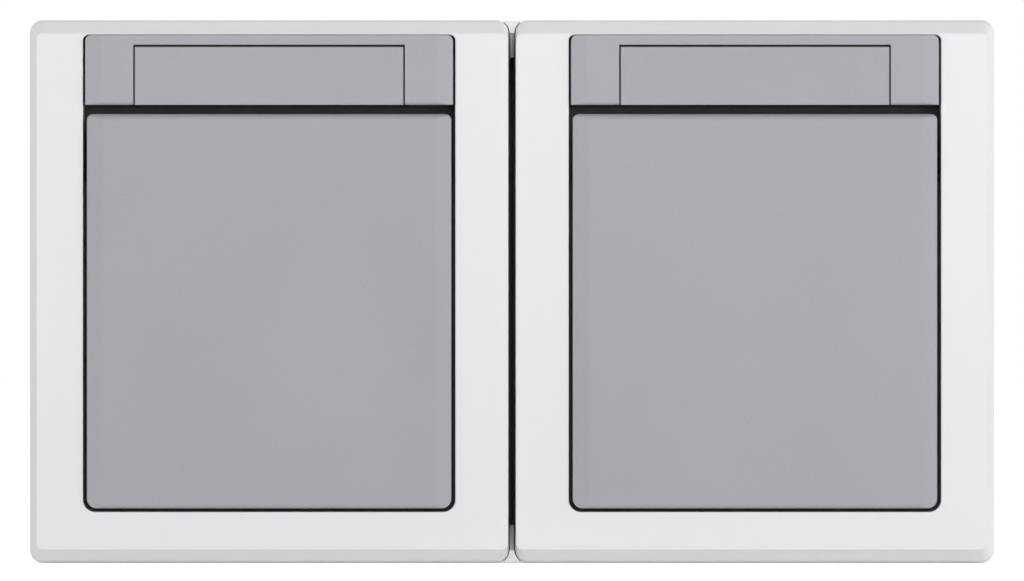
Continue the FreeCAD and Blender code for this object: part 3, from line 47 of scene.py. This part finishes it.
# Camera
# A long lens straight in front of the sockets, as in a catalogue picture: the frames' front
# fills 965 of the 1024 pixels, and no side wall shows.
front_of_frames = -0.058
camera_distance = 2.0
camera_height = 0.00016
picture_width = 0.15914
sensor_width = 36
bpy.ops.object.camera_add(
    location=(0, front_of_frames - camera_distance, camera_height),
    rotation=(math.radians(90), 0, 0),
)
camera = bpy.context.object
camera.name = "catalogue_camera"
camera.data.sensor_fit = "HORIZONTAL"
camera.data.sensor_width = sensor_width
camera.data.lens = sensor_width * camera_distance / picture_width
camera.data.clip_start = 0.05
camera.data.clip_end = 50
bpy.context.scene.camera = camera

# Studio
# A white surround that the camera and every gloss see as plain white, and that lights the piece
# softly, more from behind than from the front. A large soft lamp stands in front and slightly to
# the right, and one more on each side brings out the rounded edges.
studio = bpy.data.worlds.new("white_studio")
bpy.context.scene.world = studio
studio.use_nodes = True
nodes = studio.node_tree.nodes
links = studio.node_tree.links
nodes.clear()
seen = nodes.new("ShaderNodeLightPath")
seen_or_gloss = nodes.new("ShaderNodeMath")
seen_or_gloss.operation = "MAXIMUM"
links.new(seen.outputs["Is Camera Ray"], seen_or_gloss.inputs[0])
links.new(seen.outputs["Is Glossy Ray"], seen_or_gloss.inputs[1])
seen_at_all = nodes.new("ShaderNodeMath")
seen_at_all.operation = "MAXIMUM"
links.new(seen_or_gloss.outputs[0], seen_at_all.inputs[0])
links.new(seen.outputs["Is Transmission Ray"], seen_at_all.inputs[1])
direction = nodes.new("ShaderNodeTexCoord")
split = nodes.new("ShaderNodeSeparateXYZ")
links.new(direction.outputs["Generated"], split.inputs[0])
behind = nodes.new("ShaderNodeMapRange")
behind.inputs["From Min"].default_value = -0.2
behind.inputs["From Max"].default_value = 0.9
behind.inputs["To Min"].default_value = 0.26
behind.inputs["To Max"].default_value = 1.2
links.new(split.outputs["Y"], behind.inputs["Value"])
soft_light = nodes.new("ShaderNodeBackground")
links.new(behind.outputs["Result"], soft_light.inputs["Strength"])
plain_white = nodes.new("ShaderNodeBackground")
plain_white.inputs["Strength"].default_value = 1.0
plain_white.inputs["Color"].default_value = (1, 1, 1, 1)
choice = nodes.new("ShaderNodeMixShader")
links.new(seen_at_all.outputs[0], choice.inputs["Fac"])
links.new(soft_light.outputs[0], choice.inputs[1])
links.new(plain_white.outputs[0], choice.inputs[2])
out = nodes.new("ShaderNodeOutputWorld")
links.new(choice.outputs[0], out.inputs["Surface"])

for name, place, size, power in (
    ("front_lamp", (0.28, -1.35, 0.2), 0.7, 9.3),
    ("right_lamp", (1.5, -0.5, 0.25), 0.9, 10.8),
    ("left_lamp", (-1.5, -0.5, 0.25), 0.9, 8.2),
):
    bpy.ops.object.light_add(type="AREA", location=place)
    lamp = bpy.context.object
    lamp.name = name
    lamp.data.size = size
    lamp.data.energy = power
    lamp.visible_camera = False
    lamp.rotation_euler = (-Vector(place)).to_track_quat("-Z", "Y").to_euler()

# Floor
# A plain pale table top under the sockets, which stand on their lower edge. It throws light up
# at the lower bevels, and its own light to the camera brings it up to the white surround.
floor_width = 8
floor_gap = 0.0001
lowest = cad_box[0][2]
bpy.ops.mesh.primitive_plane_add(size=floor_width, location=(0, 0, lowest - floor_gap))
floor = bpy.context.object
floor.name = "pale_floor"
table_top = bpy.data.materials.new("pale_table_top")
table_top.use_nodes = True
nodes = table_top.node_tree.nodes
links = table_top.node_tree.links
surface = nodes["Principled BSDF"]
surface.inputs["Base Color"].default_value = (0.94, 0.94, 0.94, 1)
surface.inputs["Roughness"].default_value = 0.9
surface.inputs["Specular IOR Level"].default_value = 0.1
seen = nodes.new("ShaderNodeLightPath")
glow = nodes.new("ShaderNodeEmission")
glow.inputs["Strength"].default_value = 0.6
shown_glow = nodes.new("ShaderNodeMixShader")
dark = nodes.new("ShaderNodeEmission")
dark.inputs["Strength"].default_value = 0.0
links.new(seen.outputs["Is Camera Ray"], shown_glow.inputs["Fac"])
links.new(dark.outputs[0], shown_glow.inputs[1])
links.new(glow.outputs[0], shown_glow.inputs[2])
total = nodes.new("ShaderNodeAddShader")
links.new(surface.outputs[0], total.inputs[0])
links.new(shown_glow.outputs[0], total.inputs[1])
links.new(total.outputs[0], nodes["Material Output"].inputs["Surface"])
floor.data.materials.append(table_top)


# Rounded edges and relief
# Every finish rounds its edges a little and lifts its own grain, so light catches on both.
bevel_samples = 6


def soften(nodes, links, surface, relief, radius, strength, depth):
    """Rounds the edges, lifts the relief on them, and returns the node that rounds."""
    rounded = nodes.new("ShaderNodeBevel")
    rounded.samples = bevel_samples
    rounded.inputs["Radius"].default_value = radius
    bump = nodes.new("ShaderNodeBump")
    bump.inputs["Strength"].default_value = strength
    bump.inputs["Distance"].default_value = depth
    links.new(relief, bump.inputs["Height"])
    links.new(rounded.outputs["Normal"], bump.inputs["Normal"])
    links.new(bump.outputs["Normal"], surface.inputs["Normal"])
    return rounded


# Back box and frames
# White moulded shells with a satin, very finely eroded surface. The back box is screwed to the
# wall; each frame is pressed over its rim and hides the screws of the insert.
mould_relief = 0.6
cloud_size = 38.0
speckle_share = 0.45


def moulded(name, colour, spread, grain, grain_depth, roughness, edge, soft_side=None):
    """A moulded plastic: cloudy colour, fine eroded grain, and edges rounded by the mould.

    soft_side is (start, end, radius): further out sideways than end, edges have that radius.
    """
    material = bpy.data.materials.new(name)
    material.use_nodes = True
    nodes = material.node_tree.nodes
    links = material.node_tree.links
    surface = nodes["Principled BSDF"]
    place = nodes.new("ShaderNodeTexCoord")

    cloud = nodes.new("ShaderNodeTexNoise")
    cloud.inputs["Scale"].default_value = cloud_size
    cloud.inputs["Detail"].default_value = 3.0
    links.new(place.outputs["Object"], cloud.inputs["Vector"])
    speckle = nodes.new("ShaderNodeTexNoise")
    speckle.inputs["Scale"].default_value = grain
    speckle.inputs["Detail"].default_value = 4.0
    speckle.inputs["Roughness"].default_value = 0.62
    links.new(place.outputs["Object"], speckle.inputs["Vector"])
    both = nodes.new("ShaderNodeMix")
    both.data_type = "FLOAT"
    both.inputs[0].default_value = speckle_share
    links.new(cloud.outputs["Fac"], both.inputs[2])
    links.new(speckle.outputs["Fac"], both.inputs[3])
    tint = nodes.new("ShaderNodeValToRGB")
    tint.color_ramp.elements[0].position = 0.3
    tint.color_ramp.elements[0].color = (*[c * (1 - spread) for c in colour], 1)
    tint.color_ramp.elements[1].position = 0.7
    tint.color_ramp.elements[1].color = (*[c * (1 + spread) for c in colour], 1)
    links.new(both.outputs[0], tint.inputs["Fac"])
    links.new(tint.outputs["Color"], surface.inputs["Base Color"])

    polish = nodes.new("ShaderNodeMapRange")
    polish.inputs["From Min"].default_value = 0.3
    polish.inputs["From Max"].default_value = 0.7
    polish.inputs["To Min"].default_value = roughness - 0.05
    polish.inputs["To Max"].default_value = roughness + 0.06
    links.new(speckle.outputs["Fac"], polish.inputs["Value"])
    links.new(polish.outputs["Result"], surface.inputs["Roughness"])

    rounded = soften(nodes, links, surface, speckle.outputs["Fac"], edge, mould_relief, grain_depth)
    if soft_side:
        start, end, side_radius = soft_side
        split = nodes.new("ShaderNodeSeparateXYZ")
        links.new(place.outputs["Object"], split.inputs[0])
        aside = nodes.new("ShaderNodeMath")
        aside.operation = "ABSOLUTE"
        links.new(split.outputs["X"], aside.inputs[0])
        widening = nodes.new("ShaderNodeMapRange")
        widening.inputs["From Min"].default_value = start
        widening.inputs["From Max"].default_value = end
        widening.inputs["To Min"].default_value = edge
        widening.inputs["To Max"].default_value = side_radius
        links.new(aside.outputs[0], widening.inputs["Value"])
        links.new(widening.outputs["Result"], rounded.inputs["Radius"])
    return material


def dress(node_name, material):
    """Gives a CAD node its finish."""
    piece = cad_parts[node_name]
    piece.data.materials.clear()
    piece.data.materials.append(material)
    return piece


halves = ("left", "right")
white_plastic = moulded(
    "satin_white_moulding",
    (0.772, 0.772, 0.785),
    spread=0.012,
    grain=2600.0,
    grain_depth=0.00002,
    roughness=0.42,
    edge=0.00018,
    soft_side=(0.0737, 0.0741, 0.0009),
)
dress("base_housing", white_plastic)
for half in halves:
    dress(half + "_frame", white_plastic)

# Label strips, label fields and lids
# Grey moulded pieces with a matt grain. The strip is pegged on the insert plate, the label field
# snaps into the strip, and the lid swings on a steel pin in the plate's ears.
strip_grey = moulded(
    "matt_grey_strip",
    (0.374, 0.380, 0.408),
    spread=0.045,
    grain=1900.0,
    grain_depth=0.00008,
    roughness=0.55,
    edge=0.0002,
)
label_grey = moulded(
    "matt_grey_label",
    (0.364, 0.370, 0.397),
    spread=0.045,
    grain=1900.0,
    grain_depth=0.00008,
    roughness=0.55,
    edge=0.0002,
)
lid_grey = moulded(
    "matt_grey_lid",
    (0.362, 0.367, 0.393),
    spread=0.045,
    grain=2100.0,
    grain_depth=0.00008,
    roughness=0.55,
    edge=0.0002,
)
for half in halves:
    dress(half + "_label_strip", strip_grey)
    dress(half + "_label_insert", label_grey)
    dress(half + "_lid", lid_grey)

# Insert plates, recess cups and floors
# Near black moulded pieces. The plate closes the frame's window behind the lid and holds the
# hinge, the round cup in it takes the plug, and its floor disc carries the shutter. Their near
# black is partly painted shade: through the narrow gaps round each lid the plate shows black, in
# place of the deep shadow there.
# Near black partly as painted shade for the deep shadow in the gaps round each lid.
insert_black_and_painted_shade = moulded(
    "matt_black_insert_and_painted_shade",
    (0.034, 0.034, 0.037),
    spread=0.08,
    grain=1700.0,
    grain_depth=0.00004,
    roughness=0.5,
    edge=0.0003,
)
for half in halves:
    dress(half + "_cover_plate", insert_black_and_painted_shade)
    dress(half + "_socket_cup", insert_black_and_painted_shade)
    dress(half + "_socket_floor", insert_black_and_painted_shade)


# Seals and cable grommets
# Soft rubber: a black ring under each frame, a black ring inside each lid round the recess, a
# black strip in the groove between the frames, and dark grey grommets for the cables. The groove
# strip's dark colour is painted shade, standing in for the deep shadow in the narrow groove.
rubber_edge = 0.0002
rubber_relief = 0.5
rubber_grain = 0.00006


def rubber(name, colour):
    """Soft rubber: dusty bloom on a dark, slightly uneven skin."""
    material = bpy.data.materials.new(name)
    material.use_nodes = True
    nodes = material.node_tree.nodes
    links = material.node_tree.links
    surface = nodes["Principled BSDF"]
    surface.inputs["Specular IOR Level"].default_value = 0.35
    place = nodes.new("ShaderNodeTexCoord")
    bloom = nodes.new("ShaderNodeTexNoise")
    bloom.inputs["Scale"].default_value = 240.0
    bloom.inputs["Detail"].default_value = 5.0
    links.new(place.outputs["Object"], bloom.inputs["Vector"])
    tint = nodes.new("ShaderNodeValToRGB")
    tint.color_ramp.elements[0].position = 0.35
    tint.color_ramp.elements[0].color = (*colour, 1)
    tint.color_ramp.elements[1].position = 0.75
    tint.color_ramp.elements[1].color = (*[c * 1.35 + 0.01 for c in colour], 1)
    links.new(bloom.outputs["Fac"], tint.inputs["Fac"])
    links.new(tint.outputs["Color"], surface.inputs["Base Color"])
    dull = nodes.new("ShaderNodeMapRange")
    dull.inputs["To Min"].default_value = 0.62
    dull.inputs["To Max"].default_value = 0.85
    links.new(bloom.outputs["Fac"], dull.inputs["Value"])
    links.new(dull.outputs["Result"], surface.inputs["Roughness"])
    soften(nodes, links, surface, bloom.outputs["Fac"], rubber_edge, rubber_relief, rubber_grain)
    return material


black_rubber = rubber("black_seal_rubber", (0.035, 0.035, 0.038))
# The groove strip is dark grey as painted shade for the deep shadow in the narrow groove.
groove_painted_shade_rubber = rubber("painted_shade_groove_rubber", (0.1, 0.1, 0.103))
grommet_rubber = rubber("grey_grommet_rubber", (0.21, 0.212, 0.225))
dress("cable_grommets", grommet_rubber)
dress("groove_seal", groove_painted_shade_rubber)
for half in halves:
    dress(half + "_frame_seal", black_rubber)
    dress(half + "_lid_seal", black_rubber)


# Pins, springs and screws
# Ground steel hinge pins, drawn spring wire and zinc plated screws with turned heads.
metal_edge = 0.00015
metal_relief = 0.4
metal_grain = 0.00001


def metal(name, colour, roughness, streak, stretch):
    """Bare or plated metal with fine marks drawn out along one direction."""
    material = bpy.data.materials.new(name)
    material.use_nodes = True
    nodes = material.node_tree.nodes
    links = material.node_tree.links
    surface = nodes["Principled BSDF"]
    surface.inputs["Metallic"].default_value = 1.0
    place = nodes.new("ShaderNodeTexCoord")
    drawn = nodes.new("ShaderNodeMapping")
    drawn.inputs["Scale"].default_value = stretch
    links.new(place.outputs["Object"], drawn.inputs["Vector"])
    marks = nodes.new("ShaderNodeTexNoise")
    marks.inputs["Scale"].default_value = streak
    marks.inputs["Detail"].default_value = 5.0
    links.new(drawn.outputs["Vector"], marks.inputs["Vector"])
    tint = nodes.new("ShaderNodeValToRGB")
    tint.color_ramp.elements[0].position = 0.3
    tint.color_ramp.elements[0].color = (*[c * 0.86 for c in colour], 1)
    tint.color_ramp.elements[1].position = 0.7
    tint.color_ramp.elements[1].color = (*colour, 1)
    links.new(marks.outputs["Fac"], tint.inputs["Fac"])
    links.new(tint.outputs["Color"], surface.inputs["Base Color"])
    polish = nodes.new("ShaderNodeMapRange")
    polish.inputs["To Min"].default_value = roughness - 0.08
    polish.inputs["To Max"].default_value = roughness + 0.12
    links.new(marks.outputs["Fac"], polish.inputs["Value"])
    links.new(polish.outputs["Result"], surface.inputs["Roughness"])
    soften(nodes, links, surface, marks.outputs["Fac"], metal_edge, metal_relief, metal_grain)
    return material


ground_steel = metal(
    "ground_pin_steel", (0.60, 0.60, 0.61), roughness=0.28, streak=900.0, stretch=(0.08, 1, 1)
)
spring_wire = metal(
    "drawn_spring_wire", (0.52, 0.52, 0.54), roughness=0.32, streak=700.0, stretch=(1, 1, 1)
)
zinc_plate = metal(
    "zinc_plated_screw", (0.66, 0.67, 0.69), roughness=0.34, streak=1200.0, stretch=(1, 0.2, 1)
)
for half in halves:
    dress(half + "_hinge_pin", ground_steel)
    dress(half + "_shutter_spring", spring_wire)
    dress(half + "_terminal_screws", zinc_plate)
    dress(half + "_carrier_screws", zinc_plate)
    dress(half + "_centre_screw", zinc_plate)

# Lid springs
# Wound steel wire round the hinge pin. One leg rests on the insert and the other lies behind
# the lid. A welded, smoothly shaded copy of the CAD spring takes its place.
weld_distance = 0.000002
for half in halves:
    node_name = half + "_lid_spring"
    bpy.ops.object.select_all(action="DESELECT")
    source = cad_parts[node_name]
    spring = bpy.data.objects.new(half + "_wound_spring", source.data.copy())
    bpy.context.scene.collection.objects.link(spring)
    bpy.context.view_layer.objects.active = spring
    spring.select_set(True)
    bpy.ops.object.mode_set(mode="EDIT")
    bpy.ops.mesh.select_all(action="SELECT")
    bpy.ops.mesh.remove_doubles(threshold=weld_distance)
    bpy.ops.object.mode_set(mode="OBJECT")
    bpy.ops.object.shade_smooth_by_angle(angle=math.radians(40))
    spring.data.materials.clear()
    spring.data.materials.append(spring_wire)
    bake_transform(spring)
    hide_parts(node_name)

# Contact carriers and shutters
# Dark moulded pieces behind the recess: the carrier holds the contacts, and the shutter turns
# on the floor's spindle and covers both pin holes until a plug pushes its ramps aside.
carrier_moulding = moulded(
    "dark_carrier_moulding",
    (0.19, 0.19, 0.2),
    spread=0.06,
    grain=1500.0,
    grain_depth=0.00004,
    roughness=0.5,
    edge=0.0003,
)
shutter_moulding = moulded(
    "grey_shutter_moulding",
    (0.29, 0.29, 0.31),
    spread=0.04,
    grain=1800.0,
    grain_depth=0.00003,
    roughness=0.42,
    edge=0.0002,
)
for half in halves:
    dress(half + "_contact_carrier", carrier_moulding)
    dress(half + "_shutter", shutter_moulding)

# Contacts, bushes and earth brackets
# Stamped brass, bare for the live contacts and the bush, nickel plated for the earth bracket
# whose two arms end as the side clips of the recess.
bare_brass = metal(
    "stamped_brass", (0.74, 0.57, 0.27), roughness=0.3, streak=800.0, stretch=(1, 0.15, 1)
)
plated_brass = metal(
    "nickel_plated_brass", (0.68, 0.66, 0.61), roughness=0.26, streak=900.0, stretch=(1, 0.15, 1)
)
for half in halves:
    dress(half + "_line_contact", bare_brass)
    dress(half + "_neutral_contact", bare_brass)
    dress(half + "_centre_bush", bare_brass)
    dress(half + "_earth_bracket", plated_brass)

bpy.context.scene.view_settings.view_transform = "Standard"
